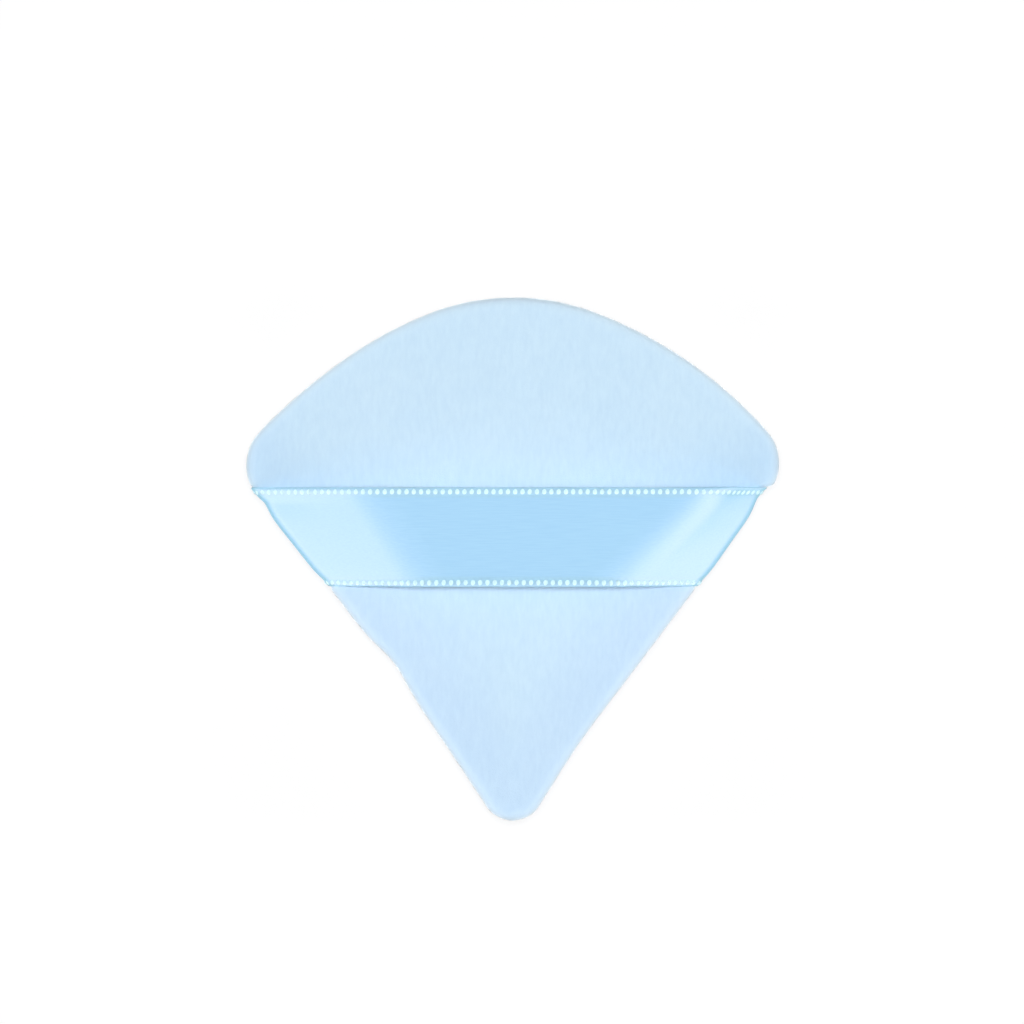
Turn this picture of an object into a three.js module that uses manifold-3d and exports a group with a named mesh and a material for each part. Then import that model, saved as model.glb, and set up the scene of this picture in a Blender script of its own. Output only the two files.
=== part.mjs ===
// A fan-shaped velour powder puff: two sewn covers round a sponge core, with a satin finger strap.
// Units are millimetres. The puff lies on its back with the strap up: +Z is up, +Y runs from the
// tip to the rounded top, and the origin is on the table under the middle of the pad's box.

import * as THREE from "three";
import { mergeVertices } from "three/addons/utils/BufferGeometryUtils.js";
import Module from "manifold-3d";

const wasm = await Module();
wasm.setup();
const { degToRad } = THREE.MathUtils;

// Outline of the pad, seen from above
const PAD_WIDTH = 81.6; // across the two rounded corners
const PAD_LENGTH = 80; // from the tip to the top
const APEX_RADIUS = 35.5; // the top's middle stretch
const APEX_HALF_ANGLE = degToRad(21); // how far that stretch turns on each side
const FLANK_RADIUS = 67; // the flatter stretches beside it
const CORNER_RADIUS = 7.8;
const TIP_RADIUS = 4.9;
const SIDE_PULL_IN = 0.75; // how far the long sides are drawn in between corner and tip

// Section of the pad
const BACK_DEPTH = 6.2; // from the seam down to the flat back
const FRONT_DEPTH = 5; // from the seam up to where the front's rim would run level
const FRONT_RIM_END = degToRad(80); // how far round the rim turns before the crown takes over
const CROWN = 1.6; // how far the front's middle stands over the end of its rim
const RIM_WIDTH = 4.8; // how far in from the outline the rounded rim reaches
const BULGE = 1.4; // height of the rim's widest line above or below the seam
const COVER_THICKNESS = 1; // velour with its backing
const SEAM_GROOVE = 0.7; // how far in from the outline the seam sits
const SEAM_ALLOWANCE = 3.9; // width of the turned-in edge of each cover
const SEAM_GAP = 0.3; // between the two turned-in edges
const FIT_CLEARANCE = 0.3; // between a piece and what it lies on
const CORE_LIP = 0.6; // thickness of the core's edge where it closes over the seam

// Finger strap
const RIBBON_WIDTH = 15;
const RIBBON_THICKNESS = 0.35;
const SELVEDGE_WIDTH = 0.9; // the thicker woven edge on each side of the ribbon
const SELVEDGE_THICKNESS = 0.7;
const SELVEDGE_TAPER = 0.2;
const STRAP_BELOW_CORNERS = 11; // from the corners' middle down to the ribbon's middle line
const FINGER_GAP = 4.5; // between the front's middle and the strap
const STRAP_FLAT_INSET = 16; // from the outline to where the strap runs flat
const STRAP_BEND_RADIUS = 11; // where it turns from the slope to the flat
const STRAP_PRESS = 1; // how far the ribbon draws the front's rim in
const POCKET_RAMP = 2.5; // along the side, where the seam opens to let the ribbon in

// Sewing
const THREAD_DIAMETER = 0.25;
const STITCH_CLEARANCE = 0.1; // round a thread, where it runs over cloth or another thread
const STITCH_LENGTH = 4.5;
const STITCH_INSET = 3.2; // from the outline to the row of stitches
const TURNING_GAP_FROM_TIP = 5; // along the left side, where the seam was left open for turning
const TURNING_GAP_LENGTH = 24;
const CLOSING_STITCH_LENGTH = 3.5;

// Fineness of the mesh
const ARC_STEPS = { apex: 4, flank: 5, corner: 6, side: 6, tip: 3 };
const RIM_SHARES = [1, 0.72, 0.45, 0.2, 0]; // rings round the rim's turn
const LINING_SHARES = [0.4, 0.7, 1];
const LINING_FOOT_ANGLE = degToRad(20);
const GROOVE_ANGLE = degToRad(45);
const CROWN_SHARES = [0.45, 0.75]; // rings between the centre and the rim
const SEAM_SAMPLES = 600;
const THREAD_SIDES = 4;

// Values that follow from those
const SEAM_HEIGHT = BACK_DEPTH;
const POCKET_HALF_GAP = SELVEDGE_THICKNESS / 2 + FIT_CLEARANCE;
const THREAD_LEVEL = POCKET_HALF_GAP + COVER_THICKNESS + STITCH_CLEARANCE + THREAD_DIAMETER / 2;
const LOOP_REACH = THREAD_DIAMETER + STITCH_CLEARANCE; // half the width of a lockstitch loop
const LOOP_DEPTH = LOOP_REACH / 2; // how far each loop passes the middle of the seam
const NEEDLE_HOLE = 2 * (LOOP_REACH + THREAD_DIAMETER / 2 + STITCH_CLEARANCE);
const CLOSING_HOLE = THREAD_DIAMETER + 4 * STITCH_CLEARANCE;
const GROOVE_HALF_HEIGHT = THREAD_LEVEL + THREAD_DIAMETER / 2 + FIT_CLEARANCE;
const FRONT = {
  sign: 1,
  rise: FRONT_DEPTH - BULGE,
  rimEnd: FRONT_RIM_END,
  crown: CROWN,
  press: STRAP_PRESS,
};
const BACK = { sign: -1, rise: BACK_DEPTH - BULGE, rimEnd: Math.PI / 2, crown: 0, press: 0 };

const velour = new THREE.MeshStandardMaterial({ color: 0xcde7fb, roughness: 0.95, metalness: 0 });
const satin = new THREE.MeshStandardMaterial({ color: 0xaddbfa, roughness: 0.35, metalness: 0 });
const sponge = new THREE.MeshStandardMaterial({ color: 0xf2f6f7, roughness: 1, metalness: 0 });
const thread = new THREE.MeshStandardMaterial({ color: 0xd6ecfb, roughness: 0.6, metalness: 0 });

// Outline

// The outward direction at an angle turned clockwise from +Y.
function outward(angle) {
  return new THREE.Vector2(Math.sin(angle), Math.cos(angle));
}

// The arcs of the right half, from the top to the tip. The drawn-in side has a negative radius.
function halfOutline() {
  const apexCentre = new THREE.Vector2(0, PAD_LENGTH / 2 - APEX_RADIUS);
  const flankCentre = apexCentre.clone();
  flankCentre.addScaledVector(outward(APEX_HALF_ANGLE), APEX_RADIUS - FLANK_RADIUS);
  const reach = FLANK_RADIUS - CORNER_RADIUS;
  const cornerAngle = Math.asin((PAD_WIDTH / 2 - CORNER_RADIUS - flankCentre.x) / reach);
  const cornerCentre = flankCentre.clone().addScaledVector(outward(cornerAngle), reach);
  const tipCentre = new THREE.Vector2(0, TIP_RADIUS - PAD_LENGTH / 2);

  const line = cornerCentre.clone().sub(tipCentre);
  const span = line.length();
  line.divideScalar(span);
  const sideRadius = span ** 2 / (8 * SIDE_PULL_IN);
  const toTip = sideRadius + TIP_RADIUS;
  const toCorner = sideRadius + CORNER_RADIUS;
  const forward = (toTip ** 2 - toCorner ** 2 + span ** 2) / (2 * span);
  const aside = Math.sqrt(toTip ** 2 - forward ** 2);
  const sideCentre = tipCentre.clone().addScaledVector(line, forward);
  sideCentre.addScaledVector(new THREE.Vector2(line.y, -line.x), aside);
  const facing = (from) => Math.atan2(sideCentre.x - from.x, sideCentre.y - from.y);
  const sideStart = facing(cornerCentre);
  const sideEnd = facing(tipCentre);

  return {
    apex: { centre: apexCentre, radius: APEX_RADIUS, from: 0, to: APEX_HALF_ANGLE },
    flank: { centre: flankCentre, radius: FLANK_RADIUS, from: APEX_HALF_ANGLE, to: cornerAngle },
    corner: { centre: cornerCentre, radius: CORNER_RADIUS, from: cornerAngle, to: sideStart },
    side: { centre: sideCentre, radius: -sideRadius, from: sideStart, to: sideEnd },
    tip: { centre: tipCentre, radius: TIP_RADIUS, from: sideEnd, to: Math.PI },
  };
}

const arcs = halfOutline();
const arcLength = (arc) => Math.abs(arc.radius * (arc.to - arc.from));
const halfPerimeter = Object.values(arcs).reduce((sum, arc) => sum + arcLength(arc), 0);
const STRAP_Y = arcs.corner.centre.y - STRAP_BELOW_CORNERS;

// The right half's arc at a height across the pad, below its top: the side or the corner above it,
// with the angle on it.
function edgeAngle(y) {
  const { corner, side } = arcs;
  const join = corner.centre.y + corner.radius * Math.cos(corner.to);
  const arc = y > join ? corner : side;
  return { arc, angle: Math.acos((y - arc.centre.y) / arc.radius) };
}

// Half the pad's width at a height across it, and how that edge leans: 1 where it is upright.
function edgeAt(y) {
  const { arc, angle } = edgeAngle(y);
  return { x: arc.centre.x + arc.radius * Math.sin(angle), lean: Math.sin(angle) };
}

// How a straight step in from the long side at the strap divides across and along the pad
const sideLean = edgeAt(STRAP_Y).lean;
const sideRise = Math.sqrt(1 - sideLean ** 2);

// The stretch of the long side along which the ribbon's tail lies between the turned-in edges
const pocket = {
  low: STRAP_Y - RIBBON_WIDTH / 2 - FIT_CLEARANCE - (SEAM_GROOVE + SEAM_ALLOWANCE) * sideRise,
  high: STRAP_Y + RIBBON_WIDTH / 2 + FIT_CLEARANCE,
};

// The point on the axis that is as far from the top as from the long sides.
function padCentre() {
  const virtualTip = TIP_RADIUS / sideRise - TIP_RADIUS;
  const y = (PAD_LENGTH / 2 - (PAD_LENGTH / 2 + virtualTip) * sideRise) / (1 + sideRise);
  return new THREE.Vector2(0, y);
}

const centre = padCentre();

// How far a point of the outline can move inwards before it meets the pad's axis or the line on
// which the two sides of a corner meet.
function insetLimit(point, normal, radius) {
  const toAxis = normal.x > 1e-6 ? point.x / normal.x : radius;
  const corner = arcs.corner.centre;
  const bisector = centre.clone().sub(corner).normalize();
  const toBisector = point.clone().sub(corner).cross(bisector) / normal.cross(bisector);
  return Math.min(toAxis, toBisector > 0 ? toBisector : Infinity);
}

// A point of the right half: its place, its outward direction and how far it can move inwards.
function halfPoint(arc, angle) {
  const normal = outward(angle);
  const place = arc.centre.clone().addScaledVector(normal, arc.radius);
  return { place, normal, limit: insetLimit(place, normal, arc.radius) };
}

function mirrored({ place, normal, limit }) {
  const flip = ({ x, y }) => new THREE.Vector2(-x, y);
  return { place: flip(place), normal: flip(normal), limit };
}

// The outline's point at a distance from the top, clockwise seen from above.
function outlineAt(distance) {
  const round = 2 * halfPerimeter;
  const along = ((distance % round) + round) % round;
  let left = along <= halfPerimeter ? along : round - along;
  const last = arcs.tip;
  for (const arc of Object.values(arcs)) {
    const length = arcLength(arc);
    if (left <= length || arc === last) {
      const angle = arc.from + (arc.to - arc.from) * Math.min(1, left / length);
      const point = halfPoint(arc, angle);
      return along <= halfPerimeter ? point : mirrored(point);
    }
    left -= length;
  }
}

// The point moved inwards. Close to its limit it slows down, so that rings never cross.
function insetPoint({ place, normal, limit }, inset) {
  const free = 0.6;
  const share = inset / limit;
  const eased = share < free ? share : 1 - (1 - free) * Math.exp((free - share) / (1 - free));
  return place.clone().addScaledVector(normal, -eased * limit);
}

// The outline's points that every ring is made of, with extra ones where the strap goes in.
function outlineSamples() {
  const half = [];
  const stations = [
    pocket.low - POCKET_RAMP,
    pocket.low,
    pocket.high,
    pocket.high + POCKET_RAMP,
  ].map(edgeAngle);
  for (const [name, arc] of Object.entries(arcs)) {
    const steps = ARC_STEPS[name];
    const even = Array.from({ length: steps }, (_, i) => arc.from + ((arc.to - arc.from) * i) / steps);
    const extra = stations.filter((station) => station.arc === arc).map(({ angle }) => angle);
    const spacing = Math.abs(arc.to - arc.from) / steps / 3;
    const kept = even.filter((a, i) => i === 0 || extra.every((b) => Math.abs(a - b) > spacing));
    const angles = [...kept, ...extra].sort((a, b) => (arc.to > arc.from ? a - b : b - a));
    half.push(...angles.map((angle) => halfPoint(arc, angle)));
  }
  half.push(halfPoint(arcs.tip, Math.PI));
  return [...half, ...half.slice(1, -1).reverse().map(mirrored)];
}

const samples = outlineSamples();

// 1 where the ribbon crosses the rim, falling to 0 beside it.
function ribbonShare({ place }) {
  const past = Math.max(pocket.low - place.y, place.y - pocket.high);
  return 1 - THREE.MathUtils.clamp(past / POCKET_RAMP, 0, 1);
}

// Half the gap between the two turned-in edges: wider where the ribbon lies between them.
function seamHalfGap(sample) {
  return THREE.MathUtils.lerp(SEAM_GAP / 2, POCKET_HALF_GAP, ribbonShare(sample));
}

// Solids

// A ring of the outline moved inwards, and further by the press where the ribbon crosses it. Its
// height above the seam may differ round the ring.
function ring(inset, height, press = 0) {
  return samples.map((sample) => {
    const { x, y } = insetPoint(sample, inset + press * ribbonShare(sample));
    const z = typeof height === "function" ? height(sample) : height;
    return new THREE.Vector3(x, y, SEAM_HEIGHT + z);
  });
}

// A ring on the rim's turn, on a cover's outside or so far inside it.
function rimRing({ sign, rise, press }, inside, angle) {
  const inset = RIM_WIDTH - (RIM_WIDTH - inside) * Math.cos(angle);
  const height = BULGE + (rise - inside) * Math.sin(angle);
  return ring(inset, sign * height, press * Math.cos(angle));
}

// The rings between the pad's centre and the end of the rim, from the centre outwards.
function crownRings(side, inside) {
  const { sign, rimEnd, crown } = side;
  return CROWN_SHARES.map((share) =>
    rimRing(side, inside, rimEnd).map((p) => {
      const flat = new THREE.Vector2(p.x, p.y).lerp(centre, 1 - share);
      return new THREE.Vector3(flat.x, flat.y, p.z + sign * crown * (1 - share ** 2));
    }),
  );
}

// The height above the seam of a face's middle, on a cover's outside or so far inside it.
function faceHeight({ rise, rimEnd, crown }, inside) {
  return BULGE + (rise - inside) * Math.sin(rimEnd) + crown;
}

function middle(height) {
  return new THREE.Vector3(centre.x, centre.y, SEAM_HEIGHT + height);
}

// A closed geometry from points and triangles, turned so that its faces point out.
function closedGeometry(points, triangles) {
  const volume = triangles.reduce((sum, [a, b, c]) => {
    return sum + points[a].dot(points[b].clone().cross(points[c]));
  }, 0);
  const facing = volume > 0 ? triangles : triangles.map(([a, b, c]) => [a, c, b]);
  return new THREE.BufferGeometry().setFromPoints(points).setIndex(facing.flat());
}

// A solid whose surface runs from one centre point over closed rings to another.
function ringSolid(first, rings, last) {
  const count = rings[0].length;
  const points = [first, ...rings.flat(), last];
  const triangles = [];
  const at = (r, i) => 1 + r * count + (i % count);
  for (let i = 0; i < count; i++) {
    triangles.push([0, at(0, i), at(0, i + 1)]);
    triangles.push([points.length - 1, at(rings.length - 1, i + 1), at(rings.length - 1, i)]);
    for (let r = 0; r + 1 < rings.length; r++) {
      triangles.push([at(r, i), at(r + 1, i), at(r + 1, i + 1)]);
      triangles.push([at(r, i), at(r + 1, i + 1), at(r, i + 1)]);
    }
  }
  return closedGeometry(points, triangles);
}

// A tube along straight runs, mitred where they meet.
function polylineTube(path, diameter) {
  const start = path[1].clone().sub(path[0]).normalize();
  const helper = new THREE.Vector3(Math.abs(start.z) > 0.5 ? 1 : 0, 0, Math.abs(start.z) > 0.5 ? 0 : 1);
  const side = helper.cross(start).normalize();
  const up = start.clone().cross(side);
  let section = Array.from({ length: THREAD_SIDES }, (_, j) => {
    const angle = ((j + 0.5) * 2 * Math.PI) / THREAD_SIDES;
    const arm = side.clone().multiplyScalar(Math.cos(angle)).addScaledVector(up, Math.sin(angle));
    return path[0].clone().addScaledVector(arm, diameter / 2);
  });
  const points = [...section];
  for (let i = 1; i < path.length; i++) {
    const into = path[i].clone().sub(path[i - 1]).normalize();
    const out = i + 1 < path.length ? path[i + 1].clone().sub(path[i]).normalize() : into;
    const mitre = into.clone().add(out);
    section = section.map((p) => {
      const ahead = path[i].clone().sub(p).dot(mitre) / into.dot(mitre);
      return p.clone().addScaledVector(into, ahead);
    });
    points.push(...section);
  }
  const at = (i, j) => i * THREAD_SIDES + (j % THREAD_SIDES);
  const triangles = [];
  for (let j = 0; j < THREAD_SIDES; j++) {
    for (let i = 0; i + 1 < path.length; i++) {
      triangles.push([at(i, j), at(i + 1, j), at(i + 1, j + 1)]);
      triangles.push([at(i, j), at(i + 1, j + 1), at(i, j + 1)]);
    }
  }
  for (let j = 1; j + 1 < THREAD_SIDES; j++) {
    triangles.push([at(0, 0), at(0, j), at(0, j + 1)]);
    triangles.push([at(path.length - 1, 0), at(path.length - 1, j + 1), at(path.length - 1, j)]);
  }
  return closedGeometry(points, triangles);
}

function toManifold(geometry) {
  const bare = new THREE.BufferGeometry();
  bare.setAttribute("position", geometry.getAttribute("position")).setIndex(geometry.index);
  const merged = mergeVertices(bare, 1e-4);
  const vertProperties = new Float32Array(merged.getAttribute("position").array);
  const triVerts = new Uint32Array(merged.index.array);
  return new wasm.Manifold(new wasm.Mesh({ numProp: 3, vertProperties, triVerts }));
}

function fromManifold(solid) {
  const { vertProperties, triVerts } = solid.getMesh();
  const geometry = new THREE.BufferGeometry();
  geometry.setAttribute("position", new THREE.BufferAttribute(vertProperties, 3));
  return geometry.setIndex(new THREE.BufferAttribute(triVerts, 1));
}

// Sewing

// Where the row of stitches is, at a distance along the outline.
function seamFrame(distance) {
  const point = outlineAt(distance);
  const place = insetPoint(point, STITCH_INSET);
  const inward = point.normal.clone().negate();
  return { place, inward, along: new THREE.Vector2(point.normal.y, -point.normal.x) };
}

// Evenly spaced stitches on the row between two distances along the outline.
function stitchFrames(from, to, pitch) {
  const step = (to - from) / SEAM_SAMPLES;
  const distances = Array.from({ length: SEAM_SAMPLES + 1 }, (_, i) => from + i * step);
  const run = [0];
  for (let i = 1; i <= SEAM_SAMPLES; i++) {
    const leap = seamFrame(distances[i]).place.distanceTo(seamFrame(distances[i - 1]).place);
    run.push(run[i - 1] + leap);
  }
  const total = run[SEAM_SAMPLES];
  const count = Math.max(2, Math.round(total / pitch));
  return Array.from({ length: count }, (_, k) => {
    const target = ((k + 0.5) / count) * total;
    const i = Math.max(1, run.findIndex((length) => length >= target));
    const share = (target - run[i - 1]) / (run[i] - run[i - 1]);
    return seamFrame(distances[i - 1] + share * step);
  });
}

const gapStart = halfPerimeter + TURNING_GAP_FROM_TIP;
const gapEnd = gapStart + TURNING_GAP_LENGTH;
const machineStitches = stitchFrames(gapEnd, gapStart + 2 * halfPerimeter, STITCH_LENGTH);
const closingStitches = stitchFrames(gapStart, gapEnd, CLOSING_STITCH_LENGTH);

// A point beside a stitch: so far along the seam, so far inwards, and so far above the seam.
function besideStitch({ place, along, inward }, ahead, inside, height) {
  const flat = place.clone().addScaledVector(along, ahead).addScaledVector(inward, inside);
  return new THREE.Vector3(flat.x, flat.y, SEAM_HEIGHT + height);
}

// The needle holes of a row of stitches, as one cutter.
function needleHoles(stitches, size) {
  const holes = stitches.map(({ place, along }) => {
    const hole = new THREE.BoxGeometry(size, size, 2 * THREAD_LEVEL);
    hole.rotateZ(Math.atan2(along.y, along.x));
    return toManifold(hole.translate(place.x, place.y, SEAM_HEIGHT));
  });
  return holes.reduce((all, hole) => all.add(hole));
}

const stitchCutter = needleHoles(machineStitches, NEEDLE_HOLE).add(
  needleHoles(closingStitches, CLOSING_HOLE),
);

function sewn(geometry) {
  return fromManifold(toManifold(geometry).subtract(stitchCutter));
}

// The needle thread runs over the front's turned-in edge. At each stitch it loops down through
// the hole and passes under the bobbin thread's loop.
function needleThread() {
  const path = machineStitches.flatMap((stitch) => [
    besideStitch(stitch, 0, -LOOP_REACH, THREAD_LEVEL),
    besideStitch(stitch, 0, -LOOP_REACH, -LOOP_DEPTH),
    besideStitch(stitch, 0, LOOP_REACH, -LOOP_DEPTH),
    besideStitch(stitch, 0, LOOP_REACH, THREAD_LEVEL),
  ]);
  return polylineTube(path, THREAD_DIAMETER);
}

// The bobbin thread runs under the back's turned-in edge and loops up over the needle thread.
function bobbinThread() {
  const path = machineStitches.flatMap((stitch) => [
    besideStitch(stitch, -LOOP_REACH, 0, -THREAD_LEVEL),
    besideStitch(stitch, -LOOP_REACH, 0, LOOP_DEPTH),
    besideStitch(stitch, LOOP_REACH, 0, LOOP_DEPTH),
    besideStitch(stitch, LOOP_REACH, 0, -THREAD_LEVEL),
  ]);
  return polylineTube(path, THREAD_DIAMETER);
}

// The hand-sewn thread that closes the turning gap, over one edge and under the other in turn.
function closingThread() {
  const path = closingStitches.flatMap((stitch, k) => {
    const level = k % 2 ? -THREAD_LEVEL : THREAD_LEVEL;
    return [besideStitch(stitch, 0, 0, level), besideStitch(stitch, 0, 0, -level)];
  });
  return polylineTube(path, THREAD_DIAMETER);
}

// Pad

// One cover: a dome with a rounded rim, whose edge turns in along the seam.
function cover(side) {
  const { sign, rimEnd, press } = side;
  const edge = SEAM_GROOVE + SEAM_ALLOWANCE;
  const foot = RIM_WIDTH - (RIM_WIDTH - COVER_THICKNESS) * Math.cos(LINING_FOOT_ANGLE);
  const underside = (sample) => sign * seamHalfGap(sample);
  const upperside = (sample) => sign * (seamHalfGap(sample) + COVER_THICKNESS);
  const groove = (sample) => {
    const gap = seamHalfGap(sample);
    return sign * (gap + (BULGE - gap) * (1 - Math.cos(GROOVE_ANGLE)));
  };
  const rings = [
    ...crownRings(side, 0),
    ...RIM_SHARES.map((share) => rimRing(side, 0, share * rimEnd)),
    ring(SEAM_GROOVE * (1 - Math.sin(GROOVE_ANGLE)), groove, press),
    ring(SEAM_GROOVE, underside, press),
    ring(edge, underside),
    ring(edge, upperside),
    ring(foot, upperside, press),
    ...LINING_SHARES.map((share) => rimRing(side, COVER_THICKNESS, share * rimEnd)),
    ...crownRings(side, COVER_THICKNESS).reverse(),
  ];
  const outside = middle(sign * faceHeight(side, 0));
  const inside = middle(sign * faceHeight(side, COVER_THICKNESS));
  return sewn(ringSolid(outside, rings, inside));
}

const CORE_INSIDE = COVER_THICKNESS + FIT_CLEARANCE;

// Half of the sponge core's rings, from its face to the groove that takes the seam.
function coreRings(side) {
  const { sign, rise, rimEnd } = side;
  const lipSine = (GROOVE_HALF_HEIGHT + CORE_LIP - BULGE) / (rise - CORE_INSIDE);
  const lipAngle = Math.min(0.8 * rimEnd, Math.asin(Math.min(1, lipSine)));
  const lip = rimRing(side, CORE_INSIDE, lipAngle);
  return [
    ...crownRings(side, CORE_INSIDE),
    rimRing(side, CORE_INSIDE, rimEnd),
    rimRing(side, CORE_INSIDE, (rimEnd + lipAngle) / 2),
    lip,
    lip.map(({ x, y }) => new THREE.Vector3(x, y, SEAM_HEIGHT + sign * GROOVE_HALF_HEIGHT)),
    ring(SEAM_GROOVE + SEAM_ALLOWANCE + CORE_INSIDE, sign * GROOVE_HALF_HEIGHT),
  ];
}

function spongeCore() {
  const rings = [...coreRings(FRONT), ...coreRings(BACK).reverse()];
  const top = middle(faceHeight(FRONT, CORE_INSIDE));
  const bottom = middle(-faceHeight(BACK, CORE_INSIDE));
  return ringSolid(top, rings, bottom);
}

// Strap

// The ribbon's section: places across its width, with half its thickness there.
const ribbonSection = [-1, 1].flatMap((edge) => {
  const outer = RIBBON_WIDTH / 2;
  const inner = outer - SELVEDGE_WIDTH;
  const half = [
    { across: outer, thick: SELVEDGE_THICKNESS / 2 },
    { across: inner, thick: SELVEDGE_THICKNESS / 2 },
    { across: inner - SELVEDGE_TAPER, thick: RIBBON_THICKNESS / 2 },
  ];
  const placed = half.map(({ across, thick }) => ({ across: edge * across, thick }));
  return edge < 0 ? placed : placed.reverse();
});

// The line down the middle of the ribbon's thickness on its way from the seam to the flat stretch:
// distances in from the outline and above the seam. The strap's ends meet its span halfway round
// the bend.
function strapLine() {
  const offset = FIT_CLEARANCE + SELVEDGE_THICKNESS / 2;
  const width = RIM_WIDTH - STRAP_PRESS + offset;
  const mouth = SEAM_GROOVE + STRAP_PRESS;
  const rise = FRONT.rise + offset;
  const flat = faceHeight(FRONT, 0) + FINGER_GAP + SELVEDGE_THICKNESS / 2;
  const leave = (slope) => Math.atan(rise / (width * Math.tan(slope)));
  const rim = (angle) =>
    new THREE.Vector2(RIM_WIDTH - width * Math.cos(angle), BULGE + rise * Math.sin(angle));
  const bend = (slope) =>
    new THREE.Vector2(
      STRAP_FLAT_INSET - STRAP_BEND_RADIUS * Math.sin(slope),
      flat - STRAP_BEND_RADIUS * (1 - Math.cos(slope)),
    );
  // The slope at which a straight run touches both the rim and the bend
  let low = degToRad(1);
  let high = degToRad(85);
  for (let i = 0; i < 50; i++) {
    const slope = (low + high) / 2;
    const from = rim(leave(slope));
    const to = bend(slope);
    if (from.y + Math.tan(slope) * (to.x - from.x) < to.y) low = slope;
    else high = slope;
  }
  const thirds = [1 / 3, 2 / 3, 1];
  const quarter = thirds.map((share) => (share * Math.PI) / 2);
  const meet = low / 2;
  const apart = FIT_CLEARANCE / STRAP_BEND_RADIUS;
  const end = [
    new THREE.Vector2(SEAM_GROOVE + SEAM_ALLOWANCE, 0),
    new THREE.Vector2(mouth, 0),
    ...quarter.map((turn) => {
      const out = (SEAM_GROOVE + offset) * Math.sin(turn);
      return new THREE.Vector2(mouth - out, BULGE * (1 - Math.cos(turn)));
    }),
    ...thirds.map((share) => rim(share * leave(low))),
    bend(low),
    ...thirds.map((share) => bend(low - share * meet)),
  ];
  const span = [0, ...thirds].map((share) => bend((meet - apart) * (1 - share)));
  return { end, span };
}

// A length of ribbon through stations, each with a point and a thickness direction for a place
// across the ribbon.
function ribbonSolid(stations) {
  const wide = ribbonSection.length;
  const points = stations.flatMap((station) =>
    [1, -1].flatMap((face) =>
      ribbonSection.map(({ across, thick }) => {
        const { point, up } = station(across);
        return point.addScaledVector(up, face * thick);
      }),
    ),
  );
  const at = (s, face, i) => (2 * s + face) * wide + i;
  const triangles = [];
  const quad = (a, b, c, d) => triangles.push([a, b, c], [a, c, d]);
  const last = stations.length - 1;
  for (let i = 0; i + 1 < wide; i++) {
    quad(at(0, 0, i), at(0, 0, i + 1), at(0, 1, i + 1), at(0, 1, i));
    quad(at(last, 0, i + 1), at(last, 0, i), at(last, 1, i), at(last, 1, i + 1));
    for (let s = 0; s < last; s++) {
      quad(at(s, 0, i), at(s + 1, 0, i), at(s + 1, 0, i + 1), at(s, 0, i + 1));
      quad(at(s, 1, i + 1), at(s + 1, 1, i + 1), at(s + 1, 1, i), at(s, 1, i));
    }
  }
  for (let s = 0; s < last; s++) {
    quad(at(s, 1, 0), at(s + 1, 1, 0), at(s + 1, 0, 0), at(s, 0, 0));
    quad(at(s, 0, wide - 1), at(s + 1, 0, wide - 1), at(s + 1, 1, wide - 1), at(s, 1, wide - 1));
  }
  return closedGeometry(points, triangles);
}

// A point of the ribbon on the right (1) or left (-1) of the pad.
function strapPoint(hand, across, inset, height) {
  const y = STRAP_Y + across;
  const x = edgeAt(y).x - inset / sideLean;
  return new THREE.Vector3(hand * x, y, SEAM_HEIGHT + height);
}

// Stations along a line on one side of the pad.
function strapStations(hand, line) {
  return line.map((spot, i) => {
    const before = line[Math.max(0, i - 1)];
    const after = line[Math.min(line.length - 1, i + 1)];
    const run = after.clone().sub(before);
    const up = new THREE.Vector3(hand * run.y, 0, run.x / sideLean).normalize();
    return (across) => ({ point: strapPoint(hand, across, spot.x, spot.y), up });
  });
}

// One end of the strap: its tail in the seam, the turn round the rim, the slope and half the bend.
function strapEnd(hand) {
  return sewn(ribbonSolid(strapStations(hand, strapLine().end)));
}

// The strap between its two ends, flat over the pad's middle.
function strapSpan() {
  const { span } = strapLine();
  return ribbonSolid([...strapStations(-1, span), ...strapStations(1, span).reverse()]);
}

// Assembly

function piece(name, geometry, material) {
  const mesh = new THREE.Mesh(geometry, material);
  mesh.name = name;
  return mesh;
}

const pad = new THREE.Group();
pad.add(
  piece("front_cover", cover(FRONT), velour),
  piece("back_cover", cover(BACK), velour),
  piece("sponge_core", spongeCore(), sponge),
  piece("seam_needle_thread", needleThread(), thread),
  piece("seam_bobbin_thread", bobbinThread(), thread),
  piece("closing_thread", closingThread(), thread),
);

const strap = new THREE.Group();
strap.add(
  piece("strap_span", strapSpan(), satin),
  piece("strap_left_end", strapEnd(-1), satin),
  piece("strap_right_end", strapEnd(1), satin),
);

const puff = new THREE.Group();
puff.add(pad, strap);

export default puff;
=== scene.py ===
# A fan-shaped velour powder puff with a satin finger strap, seen from straight above its strap.
# Shapes are worked out in millimetres, in the same frame as the solids, and made in metres.

import math

import bpy
import numpy as np
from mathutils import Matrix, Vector, kdtree, noise

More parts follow.
